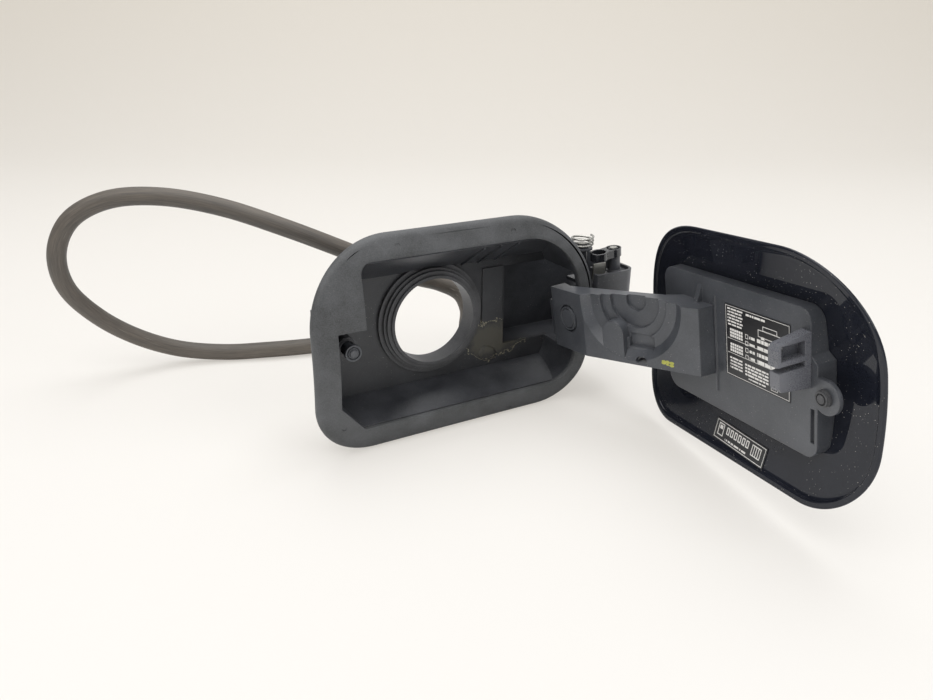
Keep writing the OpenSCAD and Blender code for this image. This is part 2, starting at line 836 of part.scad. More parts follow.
function unit(v) = v / norm(v);
function bend(a, b, c, d, t) = 0.5 * (2 * b + (c - a) * t + (2 * a - 5 * b + 4 * c - d) * t * t
    + (3 * b - a - 3 * c + d) * t * t * t);
hn = len(route) - 1;
line = [for (i = [0:hn - 1]) for (k = [0:hose_steps - 1])
    bend(route[max(i - 1, 0)], route[i], route[i + 1], route[min(i + 2, hn)], k / hose_steps), route[hn]];
ln = len(line) - 1;
along = [for (i = [0:ln]) i == 0 ? [0, 1, 0] : unit(line[min(i + 1, ln)] - line[i - 1])];
side = [for (i = 0, s = [1, 0, 0]; i <= ln;
    s = i < ln ? unit(s - (s * along[i + 1]) * along[i + 1]) : s, i = i + 1) s];

module drain_hose() {
    n = hose_sides;
    pts = [for (i = [0:ln]) for (k = [0:n - 1])
        line[i] + hose_r * (cos(k * 360 / n) * side[i] + sin(k * 360 / n) * cross(along[i], side[i]))];
    color("dimgray") seat() polyhedron(pts, [[for (k = [0:n - 1]) k], [for (k = [n - 1:-1:0]) ln * n + k],
        for (i = [0:ln - 1]) for (k = [0:n - 1])
            [i * n + k, (i + 1) * n + k, (i + 1) * n + (k + 1) % n, i * n + (k + 1) % n]]);
}

pot_housing();
pot_back();
rim_plate();
hinge_bay();
rim_seal();
neck_seal();
latch_housing();
latch_boot();
latch_plunger();
plunger_tip();
latch_spring();
latch_screws();
latch_terminals();
hinge_pin();
pin_clip();
hinge_bush();
spring_lever();
hinge_spring();
spring_clip();
lid_skin();
lid_arm();
striker();
bump_stop();
tether_button();
info_label();
fuel_label();
drain_hose();
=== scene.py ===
# %% [markdown]
# # A car fuel door in Blender
#
# The CAD part is the frame: its nodes keep their places, and this scene gives them their looks.
# Five pieces are built again with finer surfaces: the soft rim, the lid's skin, both springs and
# the drain hose. The rest of the CAD nodes get materials whose edges catch the light.
#
# Lesson 1: a surface that reflects like a mirror needs rings of quads that follow its outline.

import json
import math

import bmesh
import bpy
from mathutils import Matrix, Quaternion, Vector

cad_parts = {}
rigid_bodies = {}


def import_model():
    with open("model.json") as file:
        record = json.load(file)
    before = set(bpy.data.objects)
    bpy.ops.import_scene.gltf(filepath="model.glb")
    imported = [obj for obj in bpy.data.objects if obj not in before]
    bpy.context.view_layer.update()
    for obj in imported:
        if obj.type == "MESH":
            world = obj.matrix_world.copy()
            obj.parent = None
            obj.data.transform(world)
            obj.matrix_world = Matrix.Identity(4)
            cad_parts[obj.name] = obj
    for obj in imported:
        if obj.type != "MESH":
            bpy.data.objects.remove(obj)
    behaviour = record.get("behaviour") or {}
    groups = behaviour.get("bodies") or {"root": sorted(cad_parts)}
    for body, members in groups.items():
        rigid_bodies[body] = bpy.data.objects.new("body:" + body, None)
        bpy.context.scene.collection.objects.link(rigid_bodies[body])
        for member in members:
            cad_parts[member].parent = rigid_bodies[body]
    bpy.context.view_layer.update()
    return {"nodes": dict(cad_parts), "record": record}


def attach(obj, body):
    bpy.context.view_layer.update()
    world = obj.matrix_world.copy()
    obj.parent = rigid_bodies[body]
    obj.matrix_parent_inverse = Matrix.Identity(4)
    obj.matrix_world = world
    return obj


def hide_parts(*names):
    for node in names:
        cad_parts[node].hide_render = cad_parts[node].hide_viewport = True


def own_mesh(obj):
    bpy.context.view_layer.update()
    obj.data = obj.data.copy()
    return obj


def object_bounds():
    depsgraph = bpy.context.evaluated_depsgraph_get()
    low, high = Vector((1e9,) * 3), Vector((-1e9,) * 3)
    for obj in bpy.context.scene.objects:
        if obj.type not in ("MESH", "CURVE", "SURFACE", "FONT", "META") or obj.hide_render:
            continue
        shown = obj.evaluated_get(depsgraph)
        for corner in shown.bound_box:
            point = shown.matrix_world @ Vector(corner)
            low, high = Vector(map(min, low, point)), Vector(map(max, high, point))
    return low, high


# %% Frame
for o in list(bpy.data.objects):
    bpy.data.objects.remove(o)
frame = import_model()
POT_DEPTH = 45  # from the rim's face to the pot's back wall
SHIFT = Vector((6, -POT_DEPTH, 0))

# %% [markdown]
# The drawing below works in the rim's own frame, in millimetres: X right, Y into the car, Z up,
# with the origin at the rim's middle. `SHIFT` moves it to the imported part's frame.
#
# Lesson 2: the lid is drawn closed, as it was moulded, and one matrix swings it open.

# %% Hinge
HINGE = Vector((138, 9.7, 0))
TILT, OPEN_ANGLE = math.radians(7), math.radians(81)
AXIS = Vector((-math.sin(TILT), 0, math.cos(TILT)))
TURN = Quaternion(AXIS, OPEN_ANGLE).to_matrix().to_4x4()
SWING = Matrix.Translation(HINGE) @ TURN @ Matrix.Translation(-HINGE)
TO_ROW = Matrix.Scale(0.001, 4) @ Matrix.Translation(SHIFT)
OPEN = TO_ROW @ SWING


# %% Colour
def tint(code):
    """Linear colour of an sRGB hex code."""
    out = []
    for i in (0, 2, 4):
        c = int(code[i : i + 2], 16) / 255
        out.append(c / 12.92 if c <= 0.04045 else ((c + 0.055) / 1.055) ** 2.4)
    return (*out, 1)


# %% [markdown]
# Lesson 3: every finish starts from the same few nodes. Noise in object space breaks up the
# roughness, a second noise lays dust, and the bevel node rounds the moulded edges in the render.


# %% Node helper
def add(tree, kind, at, **values):
    """Adds a node, sets its properties and inputs, and returns it."""
    node = tree.nodes.new(kind)
    node.location = at
    for key, value in values.items():
        if hasattr(node, key):
            setattr(node, key, value)
        else:
            node.inputs[key.replace("_", " ")].default_value = value
    return node


def noise(tree, at, scale, detail=3, rough=0.6, vector=None):
    node = add(tree, "ShaderNodeTexNoise", at, Scale=scale, Detail=detail, Roughness=rough)
    tree.links.new(vector, node.inputs["Vector"])
    return node.outputs["Fac"]


def ramp(tree, at, source, low, high, a=0.0, b=1.0):
    """Maps low..high of a value to a..b."""
    node = add(tree, "ShaderNodeMapRange", at)
    for name, value in (("From Min", low), ("From Max", high), ("To Min", a), ("To Max", b)):
        node.inputs[name].default_value = value
    tree.links.new(source, node.inputs["Value"])
    return node.outputs["Result"]


def mix(tree, at, factor, a, b):
    """Mixes two colours, or a socket and a colour, by a socket."""
    node = add(tree, "ShaderNodeMix", at, data_type="RGBA")
    tree.links.new(factor, node.inputs["Factor"])
    for socket, value in ((node.inputs[6], a), (node.inputs[7], b)):
        if isinstance(value, tuple):
            socket.default_value = value
        else:
            tree.links.new(value, socket)
    return node.outputs[2]


# %% Finish
def finish(name, base, dust, rough=0.5, dusty=0.3, specks=0.0, grain=0.15, edge=0.5, coat=0.0, metal=0.0,
           level=0.5, along=None, stain=None):
    """A moulded or painted surface: base colour, a veil of dust, specks and rounded edges.

    A stain is a centre and three half widths in mm. It gets a broken line of scale at its edge.
    """
    mat = bpy.data.materials.new(name)
    mat.use_nodes = True
    tree = mat.node_tree
    shader = tree.nodes["Principled BSDF"]
    coord = add(tree, "ShaderNodeTexCoord", (-1500, 0))
    place = add(tree, "ShaderNodeMapping", (-1320, 0), Scale=(1000, 1000, 1000))
    tree.links.new(coord.outputs["UV" if along else "Object"], place.inputs["Vector"])
    mm = place.outputs["Vector"]
    veil = ramp(tree, (-880, 200), noise(tree, (-1080, 200), 0.035, 5, 0.65, mm), 0.35, 0.7, 0, dusty)
    fine = ramp(tree, (-880, -40), noise(tree, (-1080, -40), 1.3, 4, 0.7, mm), 0.35, 0.75, 0, dusty)
    both = add(tree, "ShaderNodeMath", (-680, 100), operation="ADD")
    tree.links.new(veil, both.inputs[0])
    tree.links.new(fine, both.inputs[1])
    colour = mix(tree, (-480, 200), both.outputs[0], tint(base), tint(dust))
    if specks:
        cells = add(tree, "ShaderNodeTexVoronoi", (-1080, -300), Scale=0.55)
        tree.links.new(mm, cells.inputs["Vector"])
        dot = ramp(tree, (-880, -300), cells.outputs["Distance"], 0.12, 0.05)
        where = ramp(tree, (-880, -520), noise(tree, (-1080, -520), 0.05, 3, 0.6, mm), 0.44, 0.6)
        spot = add(tree, "ShaderNodeMath", (-680, -400), operation="MULTIPLY")
        tree.links.new(dot, spot.inputs[0])
        tree.links.new(where, spot.inputs[1])
        some = add(tree, "ShaderNodeMath", (-520, -400), operation="MULTIPLY")
        tree.links.new(spot.outputs[0], some.inputs[0])
        some.inputs[1].default_value = specks
        colour = mix(tree, (-300, 200), some.outputs[0], colour, tint("CFCBC2"))
    if stain:
        centre, half = stain
        spot = add(tree, "ShaderNodeVectorMath", (-1080, 500), operation="SUBTRACT")
        tree.links.new(mm, spot.inputs[0])
        spot.inputs[1].default_value = centre
        size = add(tree, "ShaderNodeVectorMath", (-900, 500), operation="DIVIDE")
        tree.links.new(spot.outputs[0], size.inputs[0])
        size.inputs[1].default_value = half
        far = add(tree, "ShaderNodeVectorMath", (-740, 500), operation="LENGTH")
        tree.links.new(size.outputs[0], far.inputs[0])
        wander = noise(tree, (-1080, 720), 0.11, 4, 0.6, mm)
        wander = ramp(tree, (-900, 720), wander, 0.2, 0.8, -0.45, 0.45)
        edge_at = add(tree, "ShaderNodeMath", (-560, 600), operation="ADD")
        tree.links.new(far.outputs["Value"], edge_at.inputs[0])
        tree.links.new(wander, edge_at.inputs[1])
        inside = ramp(tree, (-380, 600), edge_at.outputs[0], 1.0, 0.55, 0, 0.75)
        colour = mix(tree, (-120, 400), inside, colour, tint("423F35"))
        line_at = add(tree, "ShaderNodeMath", (-380, 820), operation="COMPARE")
        tree.links.new(edge_at.outputs[0], line_at.inputs[0])
        line_at.inputs[1].default_value, line_at.inputs[2].default_value = 1.0, 0.035
        broken = ramp(tree, (-560, 980), noise(tree, (-740, 980), 0.9, 2, 0.5, mm), 0.4, 0.6, 0, 0.8)
        tide = add(tree, "ShaderNodeMath", (-200, 820), operation="MULTIPLY")
        tree.links.new(line_at.outputs[0], tide.inputs[0])
        tree.links.new(broken, tide.inputs[1])
        colour = mix(tree, (40, 400), tide.outputs[0], colour, tint("8E8871"))
    tree.links.new(colour, shader.inputs["Base Color"])
    rub = ramp(tree, (-480, -100), both.outputs[0], 0, 1, rough, min(rough + 0.35, 0.95))
    tree.links.new(rub, shader.inputs["Roughness"])
    shader.inputs["Metallic"].default_value = metal
    if not metal:
        shader.inputs["Specular IOR Level"].default_value = level
    shader.inputs["Coat Weight"].default_value = coat
    shader.inputs["Coat Roughness"].default_value = 0.03
    round_edge = add(tree, "ShaderNodeBevel", (-480, -420), Radius=edge / 1000, samples=4)
    if grain:
        bump = add(tree, "ShaderNodeBump", (-280, -420), Strength=grain, Distance=0.0002)
        tree.links.new(noise(tree, (-680, -620), 2.2, 3, 0.6, mm), bump.inputs["Height"])
        tree.links.new(round_edge.outputs[0], bump.inputs["Normal"])
        tree.links.new(bump.outputs[0], shader.inputs["Normal"])
    else:
        tree.links.new(round_edge.outputs[0], shader.inputs["Normal"])
    return mat


POT = finish("pot_plastic", "1B1C20", "64666A", 0.36, 0.2, 0.5, 0.25, 0.8)
STAIN = ((56, 0, -28), (27, 30, 16))
# Painted shade: the pot's back wall gets this darker copy of the pot's plastic because it lies deep in the
# recess; the stain with its line of scale is real.
STAINED_AND_SHADED = finish("pot_stained_and_shaded", "121316", "56575A", 0.42, 0.15, 0.4, 0.25, 0.8, stain=STAIN)
RIM = finish("rim_rubber", "242525", "5E5F61", 0.55, 0.42, 0.15, 0.35, 0.4)
COLLAR = finish("collar_rubber", "1D1D1F", "6E6E70", 0.45, 0.22, 0.2, 0.2, 0.4)
ARM = finish("arm_plastic", "303236", "63656A", 0.3, 0.22, 0.6, 0.15, 0.9)
GLOSS = finish("gloss_black", "111215", "47484C", 0.14, 0.12, 0.4, 0.0, 0.5)
# Painted sheen: the striker is glossy black, and its grey colours stand in for the reflections on its faces.
STRIKER_PAINTED_SHEEN = finish("striker_painted_sheen", "515257", "808186", 0.25, 0.12, 0.5, 0.05, 0.6)
PAINT = finish("lid_paint", "14161D", "474A54", 0.09, 0.06, 1.0, 0.0, 0.2, 0.55, level=0.0)
FILM = finish("label", "0C0C0F", "3A3A3C", 0.3, 0.15, 0.0, 0.0, 0.1)
INK = finish("label_print", "D8D6D2", "9A9894", 0.5, 0.2, 0.0, 0.0, 0.1)
STEEL = finish("steel", "A9A8A3", "77756F", 0.34, 0.3, 0.0, 0.1, 0.2, 0, 1)
BRASS = finish("brass", "B79A5A", "7D6B45", 0.3, 0.2, 0.0, 0.0, 0.1, 0, 1)
HOSE = finish("hose_rubber", "171513", "7C7266", 0.5, 0.34, 0.3, 0.4, 0.2, along="UVMap")
PAINT_DAB = finish("paint_dab", "8E8F3A", "B5B45A", 0.5, 0.4, 0.0, 0.3, 0.1)

LOOKS = {
    "pot_plastic": POT, "rim_rubber": RIM, "collar_rubber": COLLAR, "arm_plastic": ARM, "gloss_black": GLOSS,
    "lid_paint": PAINT, "label": FILM, "steel": STEEL, "brass": BRASS, "hose_rubber": HOSE,
}
for row in frame["record"]["subparts"]:
    node = frame["nodes"][row["node"]]
    node.data.materials.clear()
    node.data.materials.append(LOOKS[row["material_slot"]])
# Painted shade: the back wall takes the darker copy, with its real stain.
frame["nodes"]["pot_back"].data.materials[0] = STAINED_AND_SHADED
# Painted sheen: the striker takes the lighter grey copy.
frame["nodes"]["striker"].data.materials[0] = STRIKER_PAINTED_SHEEN


# %% Piece helper
def piece(name, bm, place, body, mat, sharp=40):
    """Turns a bmesh in millimetres into an object that rides on a body."""
    bmesh.ops.remove_doubles(bm, verts=bm.verts, dist=1e-4)
    bmesh.ops.transform(bm, matrix=place, verts=bm.verts)
    bmesh.ops.recalc_face_normals(bm, faces=bm.faces)
    mesh = bpy.data.meshes.new(name)
    bm.to_mesh(mesh)
    bm.free()
    mesh.shade_smooth()
    mesh.set_sharp_from_angle(angle=math.radians(sharp))
    obj = bpy.data.objects.new(name, mesh)
    bpy.context.scene.collection.objects.link(obj)
    mesh.materials.append(mat)
    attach(obj, body)
    return obj


def loft(bm, rings, closed=True):
    """Skins rings of points with quads. The last ring joins the first if closed."""
    rows = [[bm.verts.new(p) for p in ring] for ring in rings]
    pairs = list(zip(rows, rows[1:])) + ([(rows[-1], rows[0])] if closed else [])
    for a, b in pairs:
        for i in range(len(a)):
            j = (i + 1) % len(a)
            bm.faces.new((a[i], a[j], b[j], b[i]))
    return rows


def box(bm, lo, hi):
    """Adds a block between two corners."""
    size = Vector(hi) - Vector(lo)
    mid = (Vector(hi) + Vector(lo)) / 2
    bmesh.ops.create_cube(bm, size=1, matrix=Matrix.Translation(mid) @ Matrix.Diagonal((*size, 1)))


def card(w, h, radii, inset=0, arc=24, side=14):
    """Outline of a rounded card as (x, z) points, clockwise from the left edge's top."""
    u, v = w / 2 - inset, h / 2 - inset
    r = [max(q - inset, 1) for q in radii]
    centres = [(r[0] - u, v - r[0]), (u - r[1], v - r[1]), (u - r[2], r[2] - v), (r[3] - u, r[3] - v)]
    ends = []
    for k, (cx, cz) in enumerate(centres):
        turns = [math.pi - k * math.pi / 2 - t * math.pi / 2 / arc for t in range(arc + 1)]
        ends.append([(cx + r[k] * math.cos(a), cz + r[k] * math.sin(a)) for a in turns])
    out = []
    for k in range(4):
        out += ends[k]
        p, q = ends[k][-1], ends[(k + 1) % 4][0]
        out += [(p[0] + (q[0] - p[0]) * t / side, p[1] + (q[1] - p[1]) * t / side) for t in range(1, side)]
    return out


def sag(z, r):
    """How far a crown of radius r falls back at height z."""
    return r - math.sqrt(r * r - z * z)


# %% [markdown]
# ## The lid's skin
# Lesson 4: one profile goes round the outline. It starts at the middle of the outer face, turns
# round the hem, and ends at the middle of the inner face, so the painted sheet closes on itself.

# %% Lid skin
W, H, RADII, CROWN, LIFT = 211, 151, (60, 77, 36, 46), 201, 5.5
SHEET = 1.2
steps = [(0.0, SHEET), (0.1, 0.75), (0.35, 0.35), (0.8, 0.06), (1.4, 0)]
hem = [(0.0, SHEET), (0.1, 1.65), (0.35, 2.05), (0.8, 2.34), (1.4, 2.4), (2.6, 2.4), (3.4, 2.4),
       (3.8, 2.32), (4.05, 2.1), (4.15, 1.8), (4.3, 1.35), (4.7, SHEET)]
LID = Vector((-2.4, 0, -2))


def lid_point(x, z, y):
    """A point of the closed lid, y behind its outer face."""
    return LID + Vector((x, sag(z, CROWN) - LIFT + y * math.cos(math.asin(z / CROWN)), z))


bm = bmesh.new()
rings = []
inner = [(4.7 + k * 2.6, SHEET) for k in range(1, 10)]
outer = [(1.4 + k * 2.9, 0) for k in range(1, 10)]
for d, y in reversed(outer):
    rings.append([lid_point(x, z, y) for x, z in card(W, H, RADII, d)])
for d, y in reversed(steps):
    rings.append([lid_point(x, z, y) for x, z in card(W, H, RADII, d)])
for d, y in hem[1:] + inner:
    rings.append([lid_point(x, z, y) for x, z in card(W, H, RADII, d)])
rows = loft(bm, rings, closed=False)
for row, d, y in ((rows[0], outer[-1][0], 0), (rows[-1], inner[-1][0], SHEET)):
    edge = card(W, H, RADII, d)
    last = row
    for s in [1 - k / 16 for k in range(1, 16)]:
        ring = [bm.verts.new(lid_point(x * s, z * s, y)) for x, z in edge]
        for i in range(len(ring)):
            j = (i + 1) % len(ring)
            bm.faces.new((last[i], last[j], ring[j], ring[i]))
        last = ring
    tip = bm.verts.new(lid_point(0, 0, y))
    for i in range(len(last)):
        bm.faces.new((last[i], last[(i + 1) % len(last)], tip))
skin = piece("lid_skin_fine", bm, OPEN, "lid", PAINT, 60)
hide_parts("lid_skin")

# %% [markdown]
# ## The soft rim
# Lesson 5: rays from the middle cut both outlines, so one set of quads spans from the opening
# to the rounded outer edge. Each point of the opening's outline gets a ray of its own.


# %% Soft rim
def arc_points(cx, cz, r, a0, a1, n):
    """Points of an arc from a0 to a1 degrees."""
    turns = [math.radians(a0 + (a1 - a0) * k / n) for k in range(n + 1)]
    return [(cx + r * math.cos(a), cz + r * math.sin(a)) for a in turns]


OPENING = ([(-75, -57)] + arc_points(77, -37, 20, -90, 0, 12) + arc_points(53, 16, 44, 0, 90, 24)
           + arc_points(-65, 52, 8, 90, 180, 8) + [(-73, 18), (-92.5, 18), (-92.5, -36)])
OUTER = card(219.4, 151.8, (58, 65, 38, 43))
RIM_CROWN = 231


def reach(outline, angle):
    """Distance from the middle to an outline along a ray."""
    dx, dz = math.cos(angle), math.sin(angle)
    best = 1e9
    for (x0, z0), (x1, z1) in zip(outline, outline[1:] + outline[:1]):
        ex, ez = x1 - x0, z1 - z0
        den = dx * ez - dz * ex
        if abs(den) < 1e-9:
            continue
        t = (x0 * ez - z0 * ex) / den
        u = (x0 * dz - z0 * dx) / den
        if t > 0 and -1e-6 <= u <= 1 + 1e-6:
            best = min(best, t)
    return best


angles = {round(2 * math.pi * k / 200, 6) for k in range(200)}
for x, z in OPENING:
    angles.add(round(math.atan2(z, x) % (2 * math.pi), 6))
angles = sorted(angles)
keep = [angles[0]] + [b for a, b in zip(angles, angles[1:]) if b - a > 2e-4]
bm = bmesh.new()
# Each point of the profile: i from the inner edge, o from the outer edge, or m as a share between
profile = [("i", 0.5, 0), ("m", 0.25, 0), ("m", 0.5, 0), ("m", 0.75, 0), ("o", 4.2, 0), ("o", 3.1, 0.05),
           ("o", 2.1, 0.3), ("o", 1.2, 0.8), ("o", 0.5, 1.5), ("o", 0.1, 2.4), ("o", 0, 3.3),
           ("o", 0.05, 4.6), ("o", 0.4, 5.4), ("o", 1.1, 5.85), ("o", 2.4, 5.9), ("o", 2.5, 3), ("m", 0.5, 3),
           ("i", 0, 3), ("i", 0, 0.5), ("i", 0.15, 0.15)]
rings = []
for kind, d, y in profile:
    ring = []
    for a in keep:
        r0, r1 = reach(OPENING, a) + 0.02, reach(OUTER, a)
        r = {"i": r0 + d, "o": r1 - d, "m": r0 + (r1 - r0) * d}[kind]
        x, z = r * math.cos(a), r * math.sin(a)
        ring.append(Vector((x, sag(z, RIM_CROWN) + y, z)))
    rings.append(ring)
loft(bm, rings)
rim = piece("rim_fine", bm, TO_ROW, "pot", RIM, 50)
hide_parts("rim_seal")
bm = bmesh.new()
for x, z in ((-45.7, 67.8), (42.6, 67), (43.6, -70.2), (-90.8, -51.7)):
    turns = [t * math.pi / 10 for t in range(20)]
    loft(bm, [[Vector((x + r * math.cos(a), sag(z, RIM_CROWN) + y, z + r * math.sin(a))) for a in turns]
              for r, y in ((2.0, 0.1), (1.9, -0.16), (1.6, -0.16), (1.45, 0.1))])
piece("ejector_rings", bm, TO_ROW, "pot", RIM)


# %% [markdown]
# ## Wire and hose
# Lesson 6: a tube carries a ring of points along its line, turned as little as possible from one
# ring to the next, so that its streaks run true.


# %% Tube
def tube(bm, line, radius, sides=16):
    """A closed tube along a line of points. Its UV map runs round it (u) and along it (v / 12), in metres."""
    side = Vector((1, 0, 0))
    rings = []
    for i, p in enumerate(line):
        along = (line[min(i + 1, len(line) - 1)] - line[max(i - 1, 0)]).normalized()
        side = (side - along * side.dot(along)).normalized()
        up = along.cross(side)
        turns = [2 * math.pi * k / sides for k in range(sides)]
        rings.append([p + radius * (math.cos(a) * side + math.sin(a) * up) for a in turns])
    rows = loft(bm, rings, closed=False)
    uv = bm.loops.layers.uv.new("UVMap")
    at = {v: (k, i) for i, row in enumerate(rows) for k, v in enumerate(row)}
    step = (line[1] - line[0]).length / 12
    for face in bm.faces:
        first = {at[v][0] for v in face.verts} == {0, sides - 1}
        for loop in face.loops:
            k, i = at[loop.vert]
            k = sides if first and k == 0 else k
            loop[uv].uv = (k * 2 * math.pi * radius / sides / 1000, i * step / 1000)
    bm.faces.new(rows[0])
    bm.faces.new(rows[-1])


def smooth_line(points, steps):
    """Points on a soft curve through the given ones."""
    out = []
    for i in range(len(points) - 1):
        a, b, c, d = points[max(i - 1, 0)], points[i], points[i + 1], points[min(i + 2, len(points) - 1)]
        for k in range(steps):
            t = k / steps
            square, cube = (2 * a - 5 * b + 4 * c - d) * t**2, (3 * b - a - 3 * c + d) * t**3
            out.append(0.5 * (2 * b + (c - a) * t + square + cube))
    return out + [points[-1]]


# %% Drain hose
ROUTE = [(44, 58.1, -39.5), (46, 80, -39.5), (55, 97, -36), (63, 110, -27), (61, 121, -15),
         (46, 129, -6), (24, 133, 2), (-4, 135, 16), (-37, 138, 33), (-77, 150, 52), (-118, 172, 68),
         (-158, 190, 77), (-194, 204, 76), (-222, 214, 62), (-236, 220, 36), (-234, 225, 6),
         (-216, 229, -22), (-190, 230, -45), (-158, 228, -62), (-122, 218, -69), (-88, 205, -69),
         (-52, 195, -69), (-14, 190, -69)]
HOSE_R = 7
line = smooth_line([Vector(p) for p in ROUTE], 10)
bm = bmesh.new()
tube(bm, line, HOSE_R, 32)
hose = piece("drain_hose_fine", bm, TO_ROW, "pot", HOSE, 70)
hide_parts("drain_hose")
path = [TO_ROW @ p for p in line]

# %% Hinge spring
TURNS, PITCH, COIL_R, WIRE = 3, 2.6, 8, 0.8
bm = bmesh.new()
coil = []
for i in range(TURNS * 36 + 1):
    a = math.radians(i * 10)
    coil.append(Vector((110.5 + COIL_R * math.cos(a), 19.5 + COIL_R * math.sin(a), 44.75 + PITCH * i / 36)))
tube(bm, coil, WIRE, 12)
spring = piece("hinge_spring_fine", bm, TO_ROW, "pot", STEEL, 70)
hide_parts("hinge_spring")

# %% Latch spring
bm = bmesh.new()
coil = []
for i in range(5 * 36 + 1):
    a = math.radians(i * 10)
    coil.append(Vector((-78.5 + 5.6 * math.cos(a), 53.30 + 2.32 * i / 36, -2 - 5.6 * math.sin(a))))
tube(bm, coil, 0.5, 10)
spring = piece("latch_spring_fine", bm, TO_ROW, "pot", STEEL, 70)
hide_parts("latch_spring")
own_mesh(spring)


# %% [markdown]
# ## Labels
# Lesson 7: the labels' print is only shapes: frames, fields and rows of bars, drawn as thin
# raised blocks, so nothing on them can be read.


# %% Labels
def bars(bm, rects, y, t=0.06):
    """Thin blocks on rectangles (x0, z0, x1, z1), from y backwards by t."""
    for x0, z0, x1, z1 in rects:
        box(bm, (x0, y, z0), (x1, y + t, z1))


def frame_rects(x0, z0, x1, z1, w):
    """The four sides of a frame, w wide."""
    return [(x0, z0, x1, z0 + w), (x0, z1 - w, x1, z1),
            (x0, z0 + w, x0 + w, z1 - w), (x1 - w, z0 + w, x1, z1 - w)]


def word_row(x0, x1, z, h, seed, gap=0.8):
    """A row of bars of mixed length, like words seen from too far to read."""
    out, x, k = [], x0, seed
    while x < x1:
        k = (k * 37 + 11) % 101
        w = 1.2 + k / 101 * 4.2
        out.append((x, z, min(x + w, x1), z + h))
        x += w + gap
    return out


LABEL_X, LABEL_Z, LABEL_Y = 1.5, 29.5, 9.0


def field(u0, v0, u1, v1):
    """A rectangle on the information label, from its top corner on the hinge side."""
    return (LABEL_X - u1, LABEL_Z - v1, LABEL_X - u0, LABEL_Z - v0)


def line_of(u0, u1, v, h, seed, gap=0.6):
    """A row of bars on the information label."""
    return word_row(LABEL_X - u1, LABEL_X - u0, LABEL_Z - v - h, h, seed, gap)


bm = bmesh.new()
rects = frame_rects(*field(0.8, 0.8, 55.7, 46.2), 0.3)
for k in range(6):
    rects += line_of(2.5, 16.5 - k % 2, 2.2 + k * 2, 1.0, 5 + k)
rects += line_of(19.5, 36, 2.4, 1.3, 23)
for v in (15.2, 24.6):
    for r in range(3):
        for c in range(6):
            rects.append(field(4.6 + c * 2, v + r * 2, 6.2 + c * 2, v + 1.5 + r * 2))
    rects.append(field(2, v + 6.6, 46, v + 6.9))
for k in range(4):
    rects += frame_rects(*field(18.6, 15.4 + k * 4.4, 21.2, 18.2 + k * 4.4), 0.35)
    rects += line_of(22.4, 27, 16 + k * 4.4, 1.7, 31 + k)
    rects += line_of(29, 44, 15.6 + k * 4.4, 2.3, 47 + k, 0.5)
rects += frame_rects(*field(30, 9.4, 50, 14), 0.4) + frame_rects(*field(34, 6.6, 46, 9.6), 0.4)
rects += [field(32.5, 13.4, 35.5, 15), field(44.5, 13.4, 47.5, 15)]
for k in range(4):
    rects += line_of(4, 15.5, 34 + k * 2.1, 1.1, 61 + k)
    rects += line_of(18, 38.5, 34.6 + k * 2.1, 1.2, 71 + k)
rects += frame_rects(*field(40.6, 33.4, 46, 44.4), 0.3)
rects += [field(41.8, 35 + k * 3, 44.8, 36.8 + k * 3) for k in range(3)]
rects += line_of(21, 36, 43.4, 0.9, 83)
bars(bm, rects, LABEL_Y)
piece("info_print", bm, OPEN, "lid", INK)

bm = bmesh.new()
rects = frame_rects(-24, -6, 24, 6, 0.4)
rects += frame_rects(16, -3.5, 21.5, 4.5, 0.6) + [(17.4, 0.8, 20.1, 3.2)]
for x in (10.5, 6.6, 2.7, -1.2, -5.1, -9):
    rects += frame_rects(x, -0.6, x + 2.8, 4.2, 0.75)
rects += frame_rects(-20.5, -3, -12, 4, 0.6) + [(-18.6, -3, -18, 4), (-16.6, -3, -16, 4), (-14.6, -3, -14, 4)]
rects += word_row(-8, 13, -4.6, 1.1, 7)
bars(bm, rects, 0, 0.3)
turn = Matrix.Rotation(math.radians(-3), 4, "Y")
FUEL_X, FUEL_Z, FILM_Y = -5, -62.5, 1.58
for v in bm.verts:
    p = turn @ v.co
    x, z = p.x + FUEL_X, p.z + FUEL_Z
    v.co = LID + Vector((x - LID.x, sag(z, CROWN - FILM_Y) - LIFT + FILM_Y + v.co.y * 0.2, z))
piece("fuel_print", bm, OPEN, "lid", INK)

# %% Dried mud on the drain
bm = bmesh.new()
for k in range(7):
    x, z, r = 44 + 4.2 * math.sin(k * 2.4), -39 + 2.6 * math.cos(k * 2.4), 3.6 + math.sin(k * 1.7)
    lump = Matrix.Translation((x, POT_DEPTH, z)) @ Matrix.Diagonal((r * 1.25, 0.35 + 0.03 * k, r, 1))
    bmesh.ops.create_uvsphere(bm, u_segments=14, v_segments=8, radius=1, matrix=lump)
# The mud lumps take the back wall's darker copy, painted shade included.
piece("drain_mud", bm, TO_ROW, "pot", STAINED_AND_SHADED)

# %% Paint dab
bm = bmesh.new()
lean = math.atan2(39.1, 81.7)
FACE = Matrix.Translation((13.3, 19.9, 0)) @ Matrix.Rotation(lean, 4, "Z")
for k in range(9):
    x, z, r = 23.9 + 3.4 * math.sin(k * 2.1), -15.8 + 1.3 * math.cos(k * 1.7), 1.1 + 0.4 * math.sin(k)
    drop = Matrix.Translation((x, 0, z)) @ Matrix.Diagonal((r * 1.3, 0.12, r * 0.7, 1))
    bmesh.ops.create_uvsphere(bm, u_segments=10, v_segments=6, radius=1, matrix=drop)
piece("paint_dab", bm, OPEN @ FACE, "lid", PAINT_DAB)

# %% [markdown]
# ## Stage, light and camera
# Lesson 8: the floor and the paper behind it are one pale sweep. A broad soft light from the
# upper left gives the black parts their grey planes, and two weaker ones fill in from above and
# from the front. The paper glows a little for the camera, so it stays pale without bleaching.

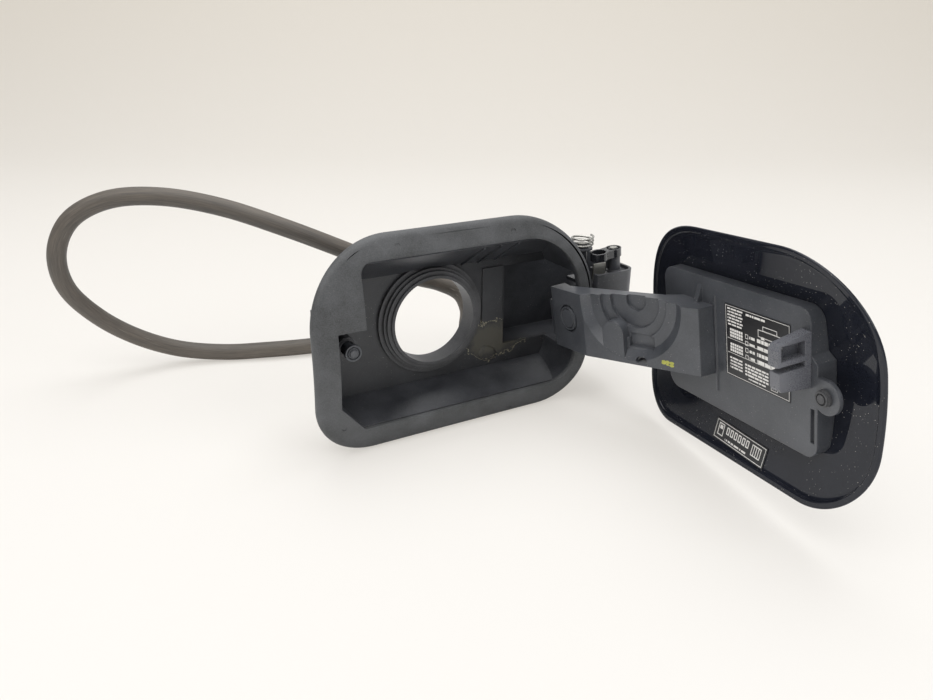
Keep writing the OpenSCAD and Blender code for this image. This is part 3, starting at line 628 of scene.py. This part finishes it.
# %% Stage
lo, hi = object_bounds()
ground = lo.z - 0.0002
bm = bmesh.new()
BEND = 0.9
turns = [math.radians(a) for a in range(9, 91, 9)]
path = [(y, 0) for y in (-1.6, -0.8, 0, 0.6, 1.0)]
path += [(1.0 + BEND * math.sin(a), BEND - BEND * math.cos(a)) for a in turns] + [(1.0 + BEND, 3.2)]
for (ya, za), (yb, zb) in zip(path, path[1:]):
    bm.faces.new([bm.verts.new(p) for p in ((-4, ya, za), (4, ya, za), (4, yb, zb), (-4, yb, zb))])
bmesh.ops.remove_doubles(bm, verts=bm.verts, dist=1e-5)
mesh = bpy.data.meshes.new("sweep")
bm.to_mesh(mesh)
bm.free()
mesh.shade_smooth()
sweep = bpy.data.objects.new("sweep", mesh)
sweep.location = (0.25, 0, ground)
sweep.rotation_euler = (0, 0, math.radians(-29.5))
bpy.context.scene.collection.objects.link(sweep)
paper = bpy.data.materials.new("paper")
paper.use_nodes = True
tree = paper.node_tree
shader = tree.nodes["Principled BSDF"]
shader.inputs["Base Color"].default_value = tint("EDECEA")
shader.inputs["Roughness"].default_value = 0.8
shader.inputs["Specular IOR Level"].default_value = 0.0
coord = add(tree, "ShaderNodeTexCoord", (-900, 0))
axes = add(tree, "ShaderNodeSeparateXYZ", (-720, 0))
tree.links.new(coord.outputs["Object"], axes.inputs[0])
# Painted shade: the glow the camera sees darkens farther back and higher up, where less light falls.
far = add(tree, "ShaderNodeMath", (-540, 0), operation="ADD")
tree.links.new(axes.outputs["Y"], far.inputs[0])
tree.links.new(axes.outputs["Z"], far.inputs[1])
painted_falloff = ramp(tree, (-360, 0), far.outputs[0], -0.5, 2.2)
paper_painted_shade = mix(tree, (-180, 200), painted_falloff, tint("E1DDD7"), tint("CFC5B4"))
glow = add(tree, "ShaderNodeEmission", (0, 200))
tree.links.new(paper_painted_shade, glow.inputs["Color"])
rays = add(tree, "ShaderNodeLightPath", (-180, 500))
share = add(tree, "ShaderNodeMath", (0, 400), operation="MULTIPLY")
share.inputs[1].default_value = 0.7
tree.links.new(rays.outputs["Is Camera Ray"], share.inputs[0])
blend = add(tree, "ShaderNodeMixShader", (200, 200))
tree.links.new(share.outputs[0], blend.inputs[0])
tree.links.new(shader.outputs[0], blend.inputs[1])
tree.links.new(glow.outputs[0], blend.inputs[2])
tree.links.new(blend.outputs[0], tree.nodes["Material Output"].inputs["Surface"])
mesh.materials.append(paper)


# %% Lights
def lamp(name, at, aim, size, power, colour="FFFFFF"):
    data = bpy.data.lights.new(name, "AREA")
    data.shape = "RECTANGLE"
    data.size, data.size_y = size
    data.energy = power
    data.color = tint(colour)[:3]
    obj = bpy.data.objects.new(name, data)
    obj.location = at
    obj.rotation_euler = (Vector(aim) - Vector(at)).to_track_quat("-Z", "Y").to_euler()
    bpy.context.scene.collection.objects.link(obj)
    return obj


lamp("key", (-0.9, -0.5, 1.5), (0, 0, 0), (1.6, 1.2), 25, "FFFDFA")
lamp("top", (0.35, 0.3, 1.7), (0.05, 0.0, 0), (1.8, 1.4), 32, "FFFFFF")
lamp("front", (0.7, -1.5, 1.1), (0.1, 0, 0), (1.2, 0.8), 12, "FFFFFF")
world = bpy.data.worlds.new("studio")
world.use_nodes = True
world.node_tree.nodes["Background"].inputs[0].default_value = tint("EEF0F4")
world.node_tree.nodes["Background"].inputs[1].default_value = 0.55
bpy.context.scene.world = world

# %% Camera
yaw, pitch, roll = math.radians(29.53), math.radians(23.17), math.radians(0.3)
fw = Vector((math.sin(yaw) * math.cos(pitch), math.cos(yaw) * math.cos(pitch), -math.sin(pitch)))
rt = Vector((math.cos(yaw), -math.sin(yaw), 0))
up = rt.cross(fw)
right = rt * math.cos(roll) + up * math.sin(roll)
above = up * math.cos(roll) - rt * math.sin(roll)
cam = bpy.data.cameras.new("camera")
cam.lens, cam.sensor_width = 29.76, 36
eye = bpy.data.objects.new("camera", cam)
eye.matrix_world = Matrix.Translation(TO_ROW @ Vector((-244.2, -430.6, 201.3))) @ Matrix(
    ((right.x, above.x, -fw.x), (right.y, above.y, -fw.y), (right.z, above.z, -fw.z))).to_4x4()
bpy.context.scene.collection.objects.link(eye)
bpy.context.scene.camera = eye
bpy.context.scene.view_settings.view_transform = "Standard"
